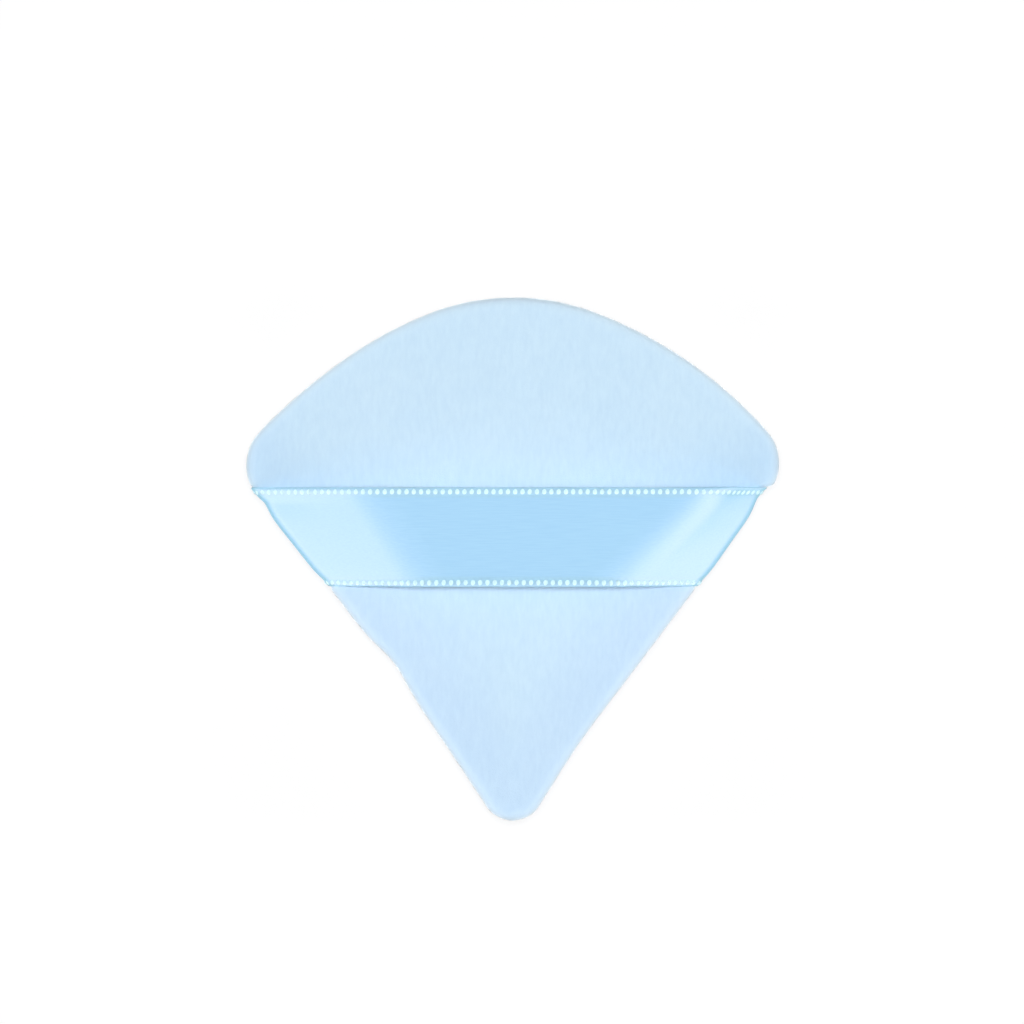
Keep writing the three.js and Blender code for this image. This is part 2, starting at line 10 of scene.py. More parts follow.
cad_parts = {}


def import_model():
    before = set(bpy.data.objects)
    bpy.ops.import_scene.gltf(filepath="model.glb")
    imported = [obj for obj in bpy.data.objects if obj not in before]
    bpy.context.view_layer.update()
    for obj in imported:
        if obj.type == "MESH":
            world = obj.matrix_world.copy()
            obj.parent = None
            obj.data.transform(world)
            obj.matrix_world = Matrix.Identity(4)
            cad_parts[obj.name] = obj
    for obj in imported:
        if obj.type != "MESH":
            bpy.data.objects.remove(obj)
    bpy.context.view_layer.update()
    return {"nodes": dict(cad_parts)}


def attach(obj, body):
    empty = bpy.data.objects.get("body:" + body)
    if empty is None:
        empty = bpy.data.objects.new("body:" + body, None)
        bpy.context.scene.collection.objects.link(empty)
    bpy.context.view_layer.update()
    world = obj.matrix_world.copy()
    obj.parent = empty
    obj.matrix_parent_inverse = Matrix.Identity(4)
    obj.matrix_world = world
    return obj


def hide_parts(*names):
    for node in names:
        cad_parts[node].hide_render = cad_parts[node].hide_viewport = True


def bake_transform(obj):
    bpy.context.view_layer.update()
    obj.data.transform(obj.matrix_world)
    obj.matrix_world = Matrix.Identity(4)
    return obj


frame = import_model()

MM = 0.001
WHITE = (1, 1, 1, 1)

# Outline of the pad, seen from above
PAD_WIDTH = 81.6
PAD_LENGTH = 80.0
APEX_RADIUS = 35.5
APEX_HALF_ANGLE = math.radians(21)
FLANK_RADIUS = 67.0
CORNER_RADIUS = 7.8
TIP_RADIUS = 4.9
SIDE_PULL_IN = 0.75  # of the long sides between corner and tip

# Section of the pad
SEAM_HEIGHT = 6.2
FRONT_DEPTH = 5.0
BACK_DEPTH = 6.2
FRONT_RIM_END = math.radians(80)
BACK_RIM_END = math.radians(90)
CROWN = 1.6  # of the front's middle over the end of its rim
RIM_WIDTH = 4.8
BULGE = 1.4  # from the seam to the rim's widest line
RIM_POWER = 0.55  # 1 would make the rim a quarter of an ellipse, less makes it squarer
COVER_THICKNESS = 1.0
SEAM_GROOVE = 0.7
SEAM_ALLOWANCE = 3.9
SEAM_GAP = 0.3
TAIL_HALF = 0.35  # half the thickness of the ribbon's tails that the seam takes in
FIT_CLEARANCE = 0.3
STITCH_LENGTH = 4.5
FOOT_ANGLE = math.radians(20)  # on the rim's turn, where the lining meets the turned-in edge
LINING_START = 0.4  # share of the rim's turn at which the lining's rings begin
CORE_RIM_START = 0.55  # the same for the foam
CORE_GROOVE = 2.3  # half the height of the groove round the foam
INSET_FREE = 0.6  # share of the way to its limit that a point moves in without slowing down
PUCKER = 0.05  # how far each stitch draws the cloth in
PUCKER_FADE = 4  # how quickly the puckers end up the rim
SEAM_PUCKER = 0.5  # share of a pucker that is left in the seam's groove
UNEVEN = 0.1  # how far the hand-filled faces rise and fall
UNEVEN_WAVES = (13.0, 17.0)  # how long these rises are across and along the pad
UNEVEN_SEED = 3.7
# Where sewing draws the outline in: right (1) or left (-1), y, depth, reach above and reach below
DENTS = [
    (1, 10.6, 1.3, 0.45, 3.0),
    (1, 6.0, 0.55, 6.5, 6.5),
    (1, -3.9, 0.3, 1.6, 0.6),
    (1, -28.0, 0.4, 8.0, 8.0),
    (-1, 27.0, 0.4, 8.0, 8.0),
    (-1, 10.4, 0.42, 0.5, 2.0),
    (-1, 8.6, 0.4, 0.7, 2.0),
    (-1, -3.9, 0.4, 1.6, 0.6),
    (-1, -15.8, 0.85, 3.0, 4.5),
    (-1, -23.0, 0.2, 9.0, 9.0),
]
DENT_ROUNDS = 12  # tries to find where a drawn-in point ends up

# Painted sheen and shade on the velour
PAINTED_SHEEN_HEIGHTS = (2.4, 4.8)  # distances from the seam's height between which the rim's colour is painted paler, a painted sheen
PAINTED_CORNER_SHADE_REACH = 18.0  # how far from the strap's ends the corners are darkened, a painted shade
PAINTED_SIDE_SHADE_INSETS = (2.0, 15.0)  # distances in from the slanting sides between which the painted shade along them fades out

# Swelling of the front cover over its filling, as a cloth held by its seam
SWELL = 0.5  # how much lower the front starts out than it ends
SWELL_CAP = 0.9  # the furthest that a point may move
SWELL_PRESSURE = 1.8
SWELL_FRAMES = 20
SWELL_SCALE = 10  # the cloth is worked out at ten times its size
SWELL_VOXEL = 1.2  # step of the even cloth
SWELL_NEAR = 12  # points of the cloth whose moves a finer point shares
SWELL_SPREAD = 3  # how widely their shares fall off
HELD_HEIGHTS = (4.0, 5.2)  # over the seam, from where it is held to where it is free
HELD_BESIDE = (5.0, 9.0)  # the same inwards from the edge, under the strap's ends

# Finger strap
RIBBON_WIDTH = 15.0
RIBBON_THICKNESS = 0.35
SELVEDGE_WIDTH = 0.9
SELVEDGE_THICKNESS = 0.5
SELVEDGE_EASE = (-0.2, 0.1)  # past its width, where it starts and ends thinning to the ribbon
SELVEDGE_COLUMNS = (0, 0.12, 0.3, 0.6, 0.8, 0.9, 1.1, 1.3)  # of the mesh, in from each edge
EDGE_ROUND = 0.3  # width of the rounding at the very edge
EDGE_LEAST = 0.05  # square of the share of the thickness that is left there
EDGE_STRIPE = 1.5  # width of the denser weave along each edge
STRIPE_SOFTNESS = 0.2
SATIN_SHADE_SLOPES = (0.78, 0.4)  # upward parts of the normal between which the satin is painted darker and teal over the rim, a painted shade
STRAP_BELOW_CORNERS = 11.0  # from the corners' middle down to the strap's
FINGER_GAP = 4.5  # between the strap's flat stretch and the front
STRAP_PRESS = 0.3  # how far the ribbon draws the front cover's rim in
BACK_PRESS = 0.15  # the same for the back cover
PRESS_RAMP = 1.2  # width over which this ends at the ribbon's edges
DENT_REACH = 11.0  # how far in from the edge a dent still draws the ribbon
RIBBON_LIFT = 0.45  # of the ribbon's middle over the rim that it crosses
SLOPE_LIMITS = (math.radians(1), math.radians(85))  # between which a leg's slope is looked for
SLOPE_ROUNDS = 50
# How far inside the rim each bend starts and its radius. Skew and spread change them per
# millimetre across the ribbon.
LEFT_BEND = {"inset": 16.0, "skew": 0.09, "radius": 12.5, "spread": 0.0}
RIGHT_BEND = {"inset": 12.4, "skew": -0.27, "radius": 10.9, "spread": -0.28}
BEAD_PITCH = 1.09  # of the loops of yarn along the ribbon's edges
BEAD_INSET = 0.48  # from the edge to a loop's middle
BEAD_SIZE = (0.44, 0.5, 0.4)  # half-lengths along the ribbon, across it and through it
BEAD_SLANT = math.radians(14)

# Fineness of the meshes
HALF_COUNT = 240  # steps round half the outline
CROWN_RINGS = 34
RIM_RINGS = 14
GROOVE_RINGS = 5
LINING_CROWN_RINGS = 6
LINING_RIM_RINGS = 4
CORE_CROWN_RINGS = 12
CORE_RIM_RINGS = 6
RIBBON_COLUMNS = 30
SECTION_STEPS = {"tail": 6, "turn": 8, "rim": 14, "leg": 18, "bend": 24}  # from seam to flat
MEET_STEP = 0.002  # of the bend, the fine rows where the strap's ends meet its span
FLAT_STEPS = 24
BEAD_SIDES = 10
BEAD_RINGS = 7

# Colours of the materials
NOISE_RANGE = (0.3, 0.7)  # where most of a noise's values lie
YARN_DARKER = (8, 5, 2)  # what the yarn's dark and light fibres take from or add to its colour
YARN_LIGHTER = (4, 3, 2)

# Floor, background and camera
AMBIENT = 0.1
FLOOR_ALBEDO = 0.2
FLOOR_DROP = 0.05  # so that the floor and the pad's flat back are not one plane
FLOOR_HALF = 3000.0
FLOOR_FADE = (60.0, 160.0)  # distances from the middle between which the floor turns plain white
CAMERA_SPOT = (-0.15, 7.18)
CAMERA_DISTANCE = 900.0
SILHOUETTE_HEIGHT = 8.0  # from which the distance is measured
LENS = 207.0
SENSOR = 36.0

# Values that follow from those above
MEET_ROW = sum(SECTION_STEPS.values()) - SECTION_STEPS["bend"] // 2 + 1
POCKET_HALF_GAP = TAIL_HALF + FIT_CLEARANCE
FRONT = {
    "sign": 1,
    "rise": FRONT_DEPTH - BULGE,
    "end": FRONT_RIM_END,
    "crown": CROWN - SWELL,
    "press": STRAP_PRESS,
}
BACK = {
    "sign": -1,
    "rise": BACK_DEPTH - BULGE,
    "end": BACK_RIM_END,
    "crown": 0.0,
    "press": BACK_PRESS,
}


# Outline


def outward(angle):
    """The outward direction at an angle turned clockwise from +Y."""
    return np.stack([np.sin(angle), np.cos(angle)], axis=-1)


def half_outline():
    """The arcs of the right half, from the top to the tip. The drawn-in side has a negative radius."""
    apex = np.array([0.0, PAD_LENGTH / 2 - APEX_RADIUS])
    flank = apex + outward(APEX_HALF_ANGLE) * (APEX_RADIUS - FLANK_RADIUS)
    reach = FLANK_RADIUS - CORNER_RADIUS
    corner_angle = math.asin((PAD_WIDTH / 2 - CORNER_RADIUS - flank[0]) / reach)
    corner = flank + outward(corner_angle) * reach
    tip = np.array([0.0, TIP_RADIUS - PAD_LENGTH / 2])

    span = np.linalg.norm(corner - tip)
    line = (corner - tip) / span
    side_radius = span**2 / (8 * SIDE_PULL_IN)
    to_tip = side_radius + TIP_RADIUS
    to_corner = side_radius + CORNER_RADIUS
    forward = (to_tip**2 - to_corner**2 + span**2) / (2 * span)
    aside = math.sqrt(to_tip**2 - forward**2)
    side = tip + line * forward + np.array([line[1], -line[0]]) * aside
    side_start = math.atan2(*(side - corner))
    side_end = math.atan2(*(side - tip))

    return {
        "apex": (apex, APEX_RADIUS, 0.0, APEX_HALF_ANGLE),
        "flank": (flank, FLANK_RADIUS, APEX_HALF_ANGLE, corner_angle),
        "corner": (corner, CORNER_RADIUS, corner_angle, side_start),
        "side": (side, -side_radius, side_start, side_end),
        "tip": (tip, TIP_RADIUS, side_end, math.pi),
    }


ARCS = half_outline()
ARC_LENGTHS = [abs(radius * (end - start)) for _, radius, start, end in ARCS.values()]
HALF_PERIMETER = sum(ARC_LENGTHS)
STRAP_Y = ARCS["corner"][0][1] - STRAP_BELOW_CORNERS


def edge_angle(y):
    """The angle on the right half's edge at heights across the pad, on its side or its corner."""
    corner, corner_radius, _, corner_end = ARCS["corner"]
    side, side_radius, _, _ = ARCS["side"]
    join = corner[1] + corner_radius * math.cos(corner_end)
    on_corner = np.arccos(np.clip((y - corner[1]) / corner_radius, -1, 1))
    on_side = np.arccos((y - side[1]) / side_radius)
    return np.where(y > join, on_corner, on_side), y > join


def dent(hand, y):
    """How far sewing draws the edge in at heights across the pad, on its right (1) or left (-1)."""
    depth = np.zeros_like(y)
    for side, middle_y, most, above, below in DENTS:
        if side == hand:
            reach = np.where(y > middle_y, above, below)
            depth = depth + most * np.exp(-(((y - middle_y) / reach) ** 2))
    return depth


def edge_x(hand, y):
    """Half the pad's width at heights across it, with its dents."""
    angle, on_corner = edge_angle(y)
    corner, corner_radius, _, _ = ARCS["corner"]
    side, side_radius, _, _ = ARCS["side"]
    centre_x = np.where(on_corner, corner[0], side[0])
    radius = np.where(on_corner, corner_radius, side_radius)
    return centre_x + radius * np.sin(angle) - dent(hand, y) / np.sin(angle)


SIDE_LEAN = float(np.sin(edge_angle(STRAP_Y)[0]))
SIDE_RISE = math.sqrt(1 - SIDE_LEAN**2)


def pad_centre():
    """The point on the axis that is as far from the top as from the long sides."""
    virtual_tip = TIP_RADIUS / SIDE_RISE - TIP_RADIUS
    y = (PAD_LENGTH / 2 - (PAD_LENGTH / 2 + virtual_tip) * SIDE_RISE) / (1 + SIDE_RISE)
    return np.array([0.0, y])


CENTRE = pad_centre()


def smooth(t):
    """A soft step from 0 to 1 as t goes from 0 to 1."""
    t = np.clip(t, 0, 1)
    return t * t * (3 - 2 * t)


def cross(a, b):
    """The turn from one flat direction to another, as a signed area."""
    return a[..., 0] * b[..., 1] - a[..., 1] * b[..., 0]


def inset_limit(place, normal, radius):
    """How far points can move inwards before they meet the axis or a corner's middle line."""
    slanting = normal[:, 0] > 1e-6
    to_axis = np.where(slanting, place[:, 0] / np.where(slanting, normal[:, 0], 1), radius)
    corner = ARCS["corner"][0]
    bisector = (CENTRE - corner) / np.linalg.norm(CENTRE - corner)
    to_bisector = cross(place - corner, bisector) / cross(normal, bisector)
    return np.minimum(to_axis, np.where(to_bisector > 0, to_bisector, np.inf))


def even_outline():
    """Even steps round the outline, clockwise from the top: places, normals, limits and distances."""
    distance = np.linspace(0, HALF_PERIMETER, HALF_COUNT + 1)
    starts = np.concatenate([[0], np.cumsum(ARC_LENGTHS)])
    which = np.clip(np.searchsorted(starts, distance, side="right") - 1, 0, len(ARC_LENGTHS) - 1)
    place, normal, radii = [], [], []
    for step, arc_index in zip(distance, which):
        centre, radius, start, end = list(ARCS.values())[arc_index]
        angle = start + (end - start) * (step - starts[arc_index]) / ARC_LENGTHS[arc_index]
        normal.append(outward(angle))
        place.append(centre + radius * normal[-1])
        radii.append(abs(radius))
    place, normal = np.array(place), np.array(normal)
    limit = inset_limit(place, normal, np.array(radii))
    flip = np.array([-1, 1])
    back = slice(HALF_COUNT - 1, 0, -1)
    return {
        "place": np.concatenate([place, place[back] * flip]),
        "normal": np.concatenate([normal, normal[back] * flip]),
        "limit": np.concatenate([limit, limit[back]]),
        "distance": np.concatenate([distance, 2 * HALF_PERIMETER - distance[back]]),
    }


OUTLINE = even_outline()


def dented():
    """How far each point of the outline is drawn in by sewing, by the height at which it ends up."""
    x, y = OUTLINE["place"].T
    landing = y
    for _ in range(DENT_ROUNDS):
        depth = np.where(x > 0, dent(1, landing), dent(-1, landing))
        landing = (landing + y - OUTLINE["normal"][:, 1] * depth) / 2
    return depth


def ribbon_share(inset, beyond=0.0):
    """1 under the ribbon's middle on a ring so far in, falling to 0 at its edges or beyond them."""
    y = OUTLINE["place"][:, 1] - OUTLINE["normal"][:, 1] * inset
    past = np.abs(y - STRAP_Y) - RIBBON_WIDTH / 2 - beyond
    return smooth(-past / PRESS_RAMP)


def stitch_pull():
    """1 at each stitch of the seam and 0 half way between two."""
    count = round(2 * HALF_PERIMETER / STITCH_LENGTH)
    turn = OUTLINE["distance"] / (2 * HALF_PERIMETER) * count * 2 * math.pi
    return (0.5 + 0.5 * np.cos(turn)) * (1 - ribbon_share(0))


DENTED = dented()
STITCH_PULL = stitch_pull()


def inset_outline(amount):
    """The outline moved inwards. Close to its limit a point slows down, so that rings never cross."""
    share = amount / OUTLINE["limit"]
    rest = 1 - INSET_FREE
    eased = np.where(share < INSET_FREE, share, 1 - rest * np.exp((INSET_FREE - share) / rest))
    return OUTLINE["place"] - OUTLINE["normal"] * (eased * OUTLINE["limit"])[:, None]


# Meshes


def make_object(name, points, faces, materials, face_materials=None, flat_faces=()):
    """A mesh object from points in millimetres, shaded smooth but for its flat faces."""
    mesh = bpy.data.meshes.new(name)
    mesh.from_pydata((np.asarray(points) * MM).tolist(), [], [list(face) for face in faces])
    for material in materials:
        mesh.materials.append(material)
    if face_materials is not None:
        mesh.polygons.foreach_set("material_index", face_materials)
    mesh.polygons.foreach_set("use_smooth", [True] * len(mesh.polygons))
    for index in flat_faces:
        mesh.polygons[index].use_smooth = False
    mesh.update()
    made = bpy.data.objects.new(name, mesh)
    bpy.context.scene.collection.objects.link(made)
    return made


def outward_faces(points, faces):
    """The faces, turned over if they enclose a negative volume."""
    fans = [(face[0], *pair) for face in faces for pair in zip(face[1:-1], face[2:])]
    a, b, c = points[np.array(fans)].transpose(1, 0, 2)
    volume = np.sum(a * np.cross(b, c))
    return faces if volume > 0 else [face[::-1] for face in faces]


def ring_solid(first, rings, last):
    """Points and faces of a solid that runs from one centre point over closed rings to another."""
    count = len(rings[0])
    points = np.concatenate([[first], *rings, [last]])
    end = len(points) - 1
    faces = []
    for i in range(count):
        j = (i + 1) % count
        faces.append((0, 1 + i, 1 + j))
        faces.append((end, end - count + j, end - count + i))
        for r in range(len(rings) - 1):
            low = 1 + r * count
            faces.append((low + i, low + count + i, low + count + j, low + j))
    return points, outward_faces(points, faces)


def lifted(flat, height):
    """Flat points at a height over the seam."""
    return np.column_stack([flat, np.broadcast_to(SEAM_HEIGHT + height, len(flat))])


# Pad


def seam_half_gap():
    """Half the gap between the covers at the seam, wider where the ribbon's tails go in."""
    return SEAM_GAP / 2 + (POCKET_HALF_GAP - SEAM_GAP / 2) * ribbon_share(SEAM_GROOVE, PRESS_RAMP)


def drawn_in(side, inset):
    """How far the ribbon and the dents draw a cover's rim in."""
    return side["press"] * ribbon_share(inset) + DENTED


def rim_inset(inside, angle):
    """How far in from the edge the rim's turn is, on a cover's outside or so far inside it."""
    return RIM_WIDTH - (RIM_WIDTH - inside) * math.cos(angle) ** RIM_POWER


def rim_height(side, inside, angle):
    """How far above or below the seam the rim's turn is, on a cover's outside or so far inside it."""
    return BULGE + (side["rise"] - inside) * math.sin(angle) ** RIM_POWER


def rim_ring(side, inside, angle):
    """A ring on the rim's turn, on a cover's outside or so far inside it."""
    inset = rim_inset(inside, angle)
    pull = PUCKER * STITCH_PULL * (1 - math.sin(angle)) ** PUCKER_FADE
    drawn = drawn_in(side, inset) * math.cos(angle)
    return lifted(inset_outline(inset + drawn + pull), side["sign"] * rim_height(side, inside, angle))


def crown_rings(side, inside, count):
    """The rings between the pad's centre and the end of the rim, from the centre outwards."""
    edge = rim_ring(side, inside, side["end"])
    rings = []
    for share in np.linspace(0, 1, count + 1)[1:-1]:
        ring = edge.copy()
        ring[:, :2] = CENTRE + (edge[:, :2] - CENTRE) * share
        ring[:, 2] += side["sign"] * side["crown"] * (1 - share**2)
        rings.append(ring)
    return rings


def face_height(side, inside):
    """How far above or below the seam a face's middle is, on a cover's outside or so far inside it."""
    return rim_height(side, inside, side["end"]) + side["crown"]


def middle(height):
    """The pad's centre at a height over the seam."""
    return np.array([*CENTRE, SEAM_HEIGHT + height])


def groove_rings(side):
    """The rings from the rim's widest line into the groove that the seam draws in."""
    rings = []
    gap = seam_half_gap()
    for turn in np.linspace(0, math.pi / 2, GROOVE_RINGS + 1)[1:]:
        pull = PUCKER * STITCH_PULL * (1 - (1 - SEAM_PUCKER) * math.sin(turn))
        inset = SEAM_GROOVE * (1 - math.cos(turn)) + pull
        height = gap + (BULGE - gap) * (1 - math.sin(turn))
        flat = inset_outline(inset + drawn_in(side, inset))
        rings.append(lifted(flat, side["sign"] * height))
    return rings


def outside_rings(side):
    """A cover's rings that show, from the middle of its face to the rim's widest line."""
    angles = np.linspace(side["end"], 0, RIM_RINGS)
    return [*crown_rings(side, 0, CROWN_RINGS), *[rim_ring(side, 0, angle) for angle in angles]]


def cover_rings(side):
    """A cover's rings from its face's middle over the rim and the turned-in edge to its lining."""
    sign = side["sign"]
    gap = seam_half_gap()
    edge = inset_outline(SEAM_GROOVE + SEAM_ALLOWANCE + DENTED)
    foot_inset = rim_inset(COVER_THICKNESS, FOOT_ANGLE)
    foot = inset_outline(foot_inset + drawn_in(side, foot_inset))
    lining_angles = np.linspace(LINING_START, 1, LINING_RIM_RINGS) * side["end"]
    return [
        *outside_rings(side),
        *groove_rings(side),
        lifted(edge, sign * gap),
        lifted(edge, sign * (gap + COVER_THICKNESS)),
        lifted(foot, sign * (gap + COVER_THICKNESS)),
        *[rim_ring(side, COVER_THICKNESS, angle) for angle in lining_angles],
        *crown_rings(side, COVER_THICKNESS, LINING_CROWN_RINGS)[::-1],
    ]


def pad_body():
    """Points and faces of the whole pad's outside as one closed skin."""
    rings = [*outside_rings(FRONT), *outside_rings(BACK)[::-1]]
    return ring_solid(middle(face_height(FRONT, 0)), rings, middle(-face_height(BACK, 0)))


def held(points):
    """1 where the seam, the table or the strap's ends hold the skin, falling to 0 where it is free."""
    low, high = HELD_HEIGHTS
    by_seam = 1 - smooth((points[:, 2] - SEAM_HEIGHT - low) / (high - low))
    near, far = HELD_BESIDE
    off = points[:, 1] - STRAP_Y
    y = STRAP_Y + np.clip(off, -RIBBON_WIDTH / 2, RIBBON_WIDTH / 2)
    edge = np.where(points[:, 0] > 0, edge_x(1, y), edge_x(-1, y))
    inwards = 1 - smooth((edge - np.abs(points[:, 0]) - near) / (far - near))
    across = 1 - smooth((np.abs(off) - RIBBON_WIDTH / 2) / near)
    return np.maximum(by_seam, inwards * across)


def skin_points(skin):
    """The skin's points as its modifiers leave them, in millimetres."""
    shaped = skin.evaluated_get(bpy.context.evaluated_depsgraph_get()).to_mesh()
    points = np.empty(len(shaped.vertices) * 3)
    shaped.vertices.foreach_get("co", points)
    return points.reshape(-1, 3) / (SWELL_SCALE * MM)


def blow_up():
    """The pad's skin as an even cloth before and after the filling pushes it out."""
    points, faces = pad_body()
    skin = make_object("skin", points * SWELL_SCALE, faces, [])
    remesh = skin.modifiers.new("even", "REMESH")
    remesh.mode = "VOXEL"
    remesh.voxel_size = SWELL_VOXEL * SWELL_SCALE * MM
    even = bpy.data.meshes.new_from_object(skin.evaluated_get(bpy.context.evaluated_depsgraph_get()))
    skin.modifiers.clear()
    skin.data = even
    start = skin_points(skin)
    hold = skin.vertex_groups.new(name="hold")
    for index, weight in enumerate(held(start)):
        hold.add([index], float(weight), "REPLACE")
    cloth = skin.modifiers.new("cloth", "CLOTH")
    cloth.settings.vertex_group_mass = hold.name
    cloth.settings.use_pressure = True
    cloth.settings.uniform_pressure_force = SWELL_PRESSURE
    cloth.settings.effector_weights.gravity = 0
    for step in range(1, SWELL_FRAMES + 1):
        bpy.context.scene.frame_set(step)
    end = skin_points(skin)
    bpy.data.objects.remove(skin)
    bpy.context.scene.frame_set(1)
    return start, end


def swelling():
    """A function that gives how far the filling pushes each of a piece's points."""
    start, end = blow_up()
    moves = end - start
    lengths = np.linalg.norm(moves, axis=1, keepdims=True)
    moves *= np.minimum(1, SWELL_CAP / np.maximum(lengths, 1e-9))
    tree = kdtree.KDTree(len(start))
    for index, place in enumerate(start):
        tree.insert(place, index)
    tree.balance()

    def push(points):
        pushed = np.zeros_like(points)
        for row, place in enumerate(points):
            found = tree.find_n(place, SWELL_NEAR)
            shares = np.array([near[2] for near in found]) / SWELL_VOXEL
            weights = np.exp(-(shares**2) / SWELL_SPREAD)
            pushed[row] = weights @ moves[[near[1] for near in found]] / weights.sum()
        return pushed

    return push


def unevenness(points):
    """Slow rises and falls of a filled face, in millimetres."""
    across, along = UNEVEN_WAVES
    waves = [noise.noise(Vector((x / across, y / along, UNEVEN_SEED))) for x, y, _ in points]
    return UNEVEN * np.array(waves)


def cover(name, node, side, material, push=None):
    """One velour cover, swollen by its filling where a push is given."""
    outside = middle(side["sign"] * face_height(side, 0))
    inside = middle(side["sign"] * face_height(side, COVER_THICKNESS))
    points, faces = ring_solid(outside, cover_rings(side), inside)
    if push is not None:
        level = smooth((points[:, 2] - SEAM_HEIGHT - BULGE) / side["rise"])
        points += push(points)
        points[:, 2] += unevenness(points) * level
    made = make_object(name, points, faces, [material])
    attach(made, "pad")
    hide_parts(node)


def core_rings(side, inside):
    """Half the foam's rings, from the middle of a face to the bottom of the groove round it."""
    angles = np.linspace(side["end"], CORE_RIM_START * side["end"], CORE_RIM_RINGS)
    rings = crown_rings(side, inside, CORE_CROWN_RINGS)
    rings += [rim_ring(side, inside, angle) for angle in angles]
    height = side["sign"] * CORE_GROOVE
    groove = lifted(rings[-1][:, :2], height)
    deep = lifted(inset_outline(SEAM_GROOVE + SEAM_ALLOWANCE + inside), height)
    return [*rings, groove, deep]


def sponge_core(material, push):
    """The foam that fills the covers, with a groove for their turned-in edges."""
    inside = COVER_THICKNESS + FIT_CLEARANCE
    rings = [*core_rings(FRONT, inside), *core_rings(BACK, inside)[::-1]]
    top = middle(face_height(FRONT, inside))
    bottom = middle(-face_height(BACK, inside))
    points, faces = ring_solid(top, rings, bottom)
    points += push(points)
    made = make_object("foam_filling", points, faces, [material])
    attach(made, "pad")
    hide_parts("sponge_core")


# Strap


def strap_line(bend_inset, radius):
    """The ribbon's middle line from the seam to its flat stretch: insets and heights over the seam."""
    width = RIM_WIDTH - STRAP_PRESS + RIBBON_LIFT
    mouth = SEAM_GROOVE + STRAP_PRESS
    rise = FRONT["rise"] + RIBBON_LIFT
    flat = face_height(FRONT, 0) + SWELL + FINGER_GAP + SELVEDGE_THICKNESS / 2

    def rim(angle):
        out, up = math.cos(angle) ** RIM_POWER, math.sin(angle) ** RIM_POWER
        return np.array([RIM_WIDTH - width * out, BULGE + rise * up])

    def bend(slope):
        return np.array([bend_inset - radius * math.sin(slope), flat - radius * (1 - math.cos(slope))])

    def leave(slope):
        return math.atan((rise / (width * math.tan(slope))) ** (1 / (2 - RIM_POWER)))

    low, high = SLOPE_LIMITS
    for _ in range(SLOPE_ROUNDS):
        slope = (low + high) / 2
        start, end = rim(leave(slope)), bend(slope)
        if start[1] + math.tan(slope) * (end[0] - start[0]) < end[1]:
            low = slope
        else:
            high = slope

    def steps(name):
        return np.linspace(0, 1, SECTION_STEPS[name] + 1)[1:]

    tail_end = np.array([SEAM_GROOVE + SEAM_ALLOWANCE, 0.0])
    tail_start = np.array([mouth, 0.0])
    turns = steps("turn") * math.pi / 2
    leg_start, leg_end = rim(leave(low)), bend(low)
    turned = np.sort([*steps("bend"), 0.5 - MEET_STEP, 0.5 + MEET_STEP])
    line = [tail_end]
    line += [tail_end + (tail_start - tail_end) * t for t in steps("tail")]
    line += [
        np.array([mouth - (SEAM_GROOVE + RIBBON_LIFT) * math.sin(a), BULGE * (1 - math.cos(a))])
        for a in turns
    ]
    line += [rim(t * leave(low)) for t in steps("rim")]
    line += [leg_start + (leg_end - leg_start) * t for t in steps("leg")]
    line += [bend(low * (1 - t)) for t in turned]
    return np.array(line)


def ribbon_columns():
    """Places across the ribbon, closer together along its edges."""
    edge = np.array(SELVEDGE_COLUMNS)
    half = RIBBON_WIDTH / 2
    inner = np.linspace(-half + edge[-1], half - edge[-1], RIBBON_COLUMNS)
    return np.concatenate([-half + edge[:-1], inner, (half - edge[:-1])[::-1]])


def half_thickness(across):
    """Half the ribbon's thickness at places across it, with rounded, thicker edges."""
    from_edge = RIBBON_WIDTH / 2 - np.abs(across)
    start, end = SELVEDGE_EASE
    rounding = 1 - (1 - np.clip(from_edge / EDGE_ROUND, 0, 1)) ** 2
    selvedge = SELVEDGE_THICKNESS / 2 * np.sqrt(np.clip(rounding, EDGE_LEAST, 1))
    inwards = smooth((from_edge - SELVEDGE_WIDTH - start) / (end - start))
    return selvedge * (1 - inwards) + RIBBON_THICKNESS / 2 * inwards


def strap_side(hand, across, bend):
    """One side's points of the ribbon's line at a place across it, from the seam to the flat."""
    y = STRAP_Y + across
    radius = bend["radius"] + bend["spread"] * across
    line = strap_line(bend["inset"] + bend["skew"] * across, radius)
    drawn = dent(hand, y) * (1 - smooth(line[:, 0] / DENT_REACH))
    edge = edge_x(hand, y) + dent(hand, y) / SIDE_LEAN
    x = hand * (edge - (line[:, 0] + drawn) / SIDE_LEAN)
    return np.column_stack([x, np.full(len(x), y), SEAM_HEIGHT + line[:, 1]])


def strap_surface():
    """The ribbon's middle surface from its left tail to its right one, as a grid along and across."""
    columns = []
    for across in ribbon_columns():
        left = strap_side(-1, across, LEFT_BEND)
        right = strap_side(1, across, RIGHT_BEND)
        shares = np.linspace(0, 1, FLAT_STEPS + 1)[1:-1, None]
        flat = left[-1] + (right[-1] - left[-1]) * shares
        columns.append(np.concatenate([left, flat, right[::-1]]))
    return np.stack(columns, axis=1)


def grid_normals(grid):
    """Unit normals of the ribbon's grid that point up on its flat, and its directions along it."""
    along = np.gradient(grid, axis=0)
    normal = np.cross(along, np.gradient(grid, axis=1))
    normal /= np.linalg.norm(normal, axis=2, keepdims=True)
    normal *= np.sign(normal[len(grid) // 2, 0, 2])
    return normal, along / np.linalg.norm(along, axis=2, keepdims=True)


